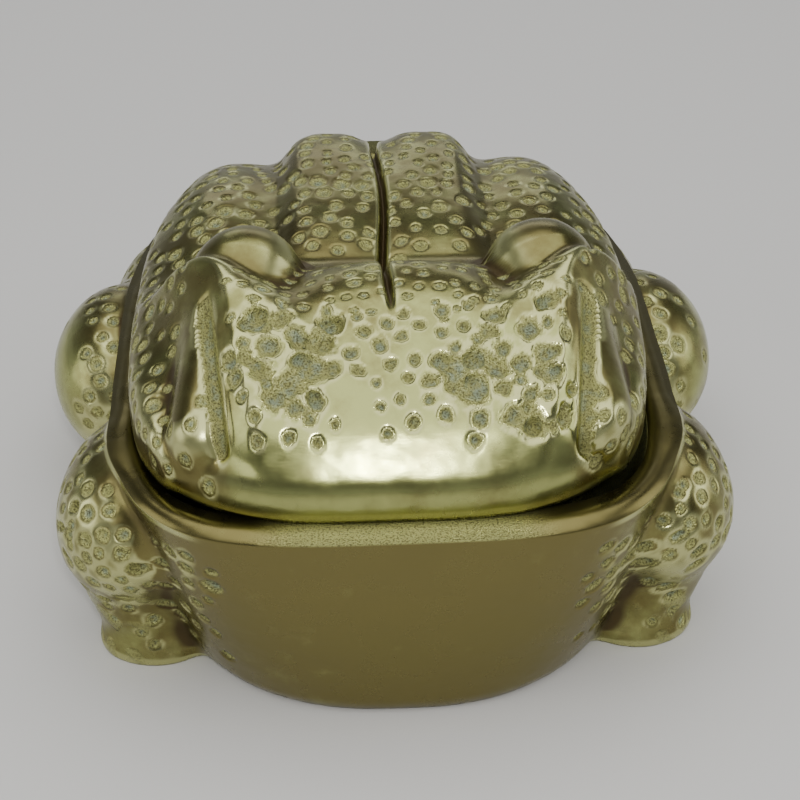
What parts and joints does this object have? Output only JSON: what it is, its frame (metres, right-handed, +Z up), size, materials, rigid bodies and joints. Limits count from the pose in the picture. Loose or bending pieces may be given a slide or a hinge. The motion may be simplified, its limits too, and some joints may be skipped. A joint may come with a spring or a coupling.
{
  "type": "cast brass frog box with a hinged lid",
  "caption": "Cast brass frog trinket box: a pitted head-and-back lid hinged at the rear over a tub with the legs cast on.",
  "frame": {"origin": "middle of the tub's flat underside", "axes": "+Z up, +X to the frog's left as it faces -Y, so to the right of someone it faces; the hinge is at +Y"},
  "size_m": [0.1224, 0.123, 0.0641],
  "materials": {
    "aged_brass": "sand cast, polished on the high spots, rough and tarnished in the pits",
    "pin_brass": "drawn rod, dull"
  },
  "bodies": {
    "base": {"base_casting": "aged_brass", "hinge_pin": "pin_brass"},
    "lid": {"lid_casting": "aged_brass"}
  },
  "joints": [
    {"name": "lid_hinge", "type": "hinge", "parent": "base", "child": "lid", "pos_m": [0, 0.059, 0.0375], "axis": [-1, 0, 0], "range_deg": [0, 105]}
  ]
}
